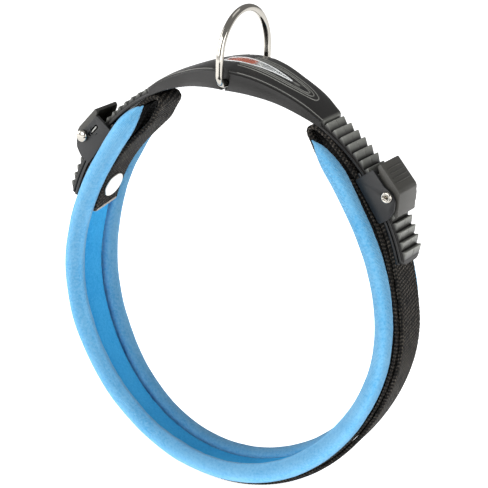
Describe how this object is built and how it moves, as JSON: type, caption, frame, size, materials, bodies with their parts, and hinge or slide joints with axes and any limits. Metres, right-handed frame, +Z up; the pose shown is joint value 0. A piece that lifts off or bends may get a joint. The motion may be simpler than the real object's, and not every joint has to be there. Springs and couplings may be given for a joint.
{
  "type": "dog collar",
  "caption": "Padded webbing dog collar with a rigid toothed strap over the top, a ratchet lever buckle on each side and a lead ring.",
  "frame": {"origin": "centre of the neck opening, on the middle plane of the webbing", "axes": "+Z up towards the lead ring, +Y along the neck away from the front roll, +X to the right seen from the front"},
  "size_m": [0.2051, 0.0508, 0.2634],
  "materials": {
    "strap_nylon": "satin moulded nylon, dark grey",
    "housing_nylon": "satin moulded nylon, blue black",
    "lever_nylon": "satin moulded nylon, warm grey",
    "black_webbing": "woven polyester webbing",
    "blue_padding": "brushed knit over soft foam",
    "bright_nickel": "polished nickel plate",
    "spring_steel": "drawn steel",
    "emblem_print": "printed foil inlay, orange and grey",
    "clear_resin": "clear domed resin"
  },
  "bodies": {
    "band": {"webbing": "black_webbing", "front_padding_roll": "blue_padding", "rear_padding_roll": "blue_padding", "padding_channel": "blue_padding", "backing_strip": "black_webbing", "left_housing": "housing_nylon", "left_pivot_rivet": "bright_nickel", "left_torsion_spring": "spring_steel", "left_fold_rivet": "bright_nickel", "left_rivet_burr": "spring_steel", "right_housing": "housing_nylon", "right_pivot_rivet": "bright_nickel", "right_torsion_spring": "spring_steel", "right_fold_rivet": "bright_nickel", "right_rivet_burr": "spring_steel"},
    "strap": {"top_strap": "strap_nylon", "emblem_inlay": "emblem_print", "emblem_dome": "clear_resin"},
    "ring": {"lead_ring": "bright_nickel"},
    "left_lever": {"left_lever": "lever_nylon"},
    "right_lever": {"right_lever": "lever_nylon"}
  },
  "joints": [
    {"name": "strap_slide", "type": "hinge", "parent": "band", "child": "strap", "pos_m": [0, 0, -0.012], "axis": [0, 1, 0], "range_deg": [-8, 8]},
    {"name": "ring_swing", "type": "hinge", "parent": "strap", "child": "ring", "pos_m": [0, 0, 0.0932], "axis": [0, 1, 0], "range_deg": [-80, 80]},
    {"name": "left_lever_press", "type": "hinge", "parent": "band", "child": "left_lever", "pos_m": [-0.09099, 0, 0.04892], "axis": [0, 1, 0], "range_deg": [0, 14], "stiffness_Nm_per_rad": 0.04, "springref_deg": -20.05},
    {"name": "right_lever_press", "type": "hinge", "parent": "band", "child": "right_lever", "pos_m": [0.09099, 0, 0.04892], "axis": [0, -1, 0], "range_deg": [0, 14], "stiffness_Nm_per_rad": 0.04, "springref_deg": -20.05}
  ]
}
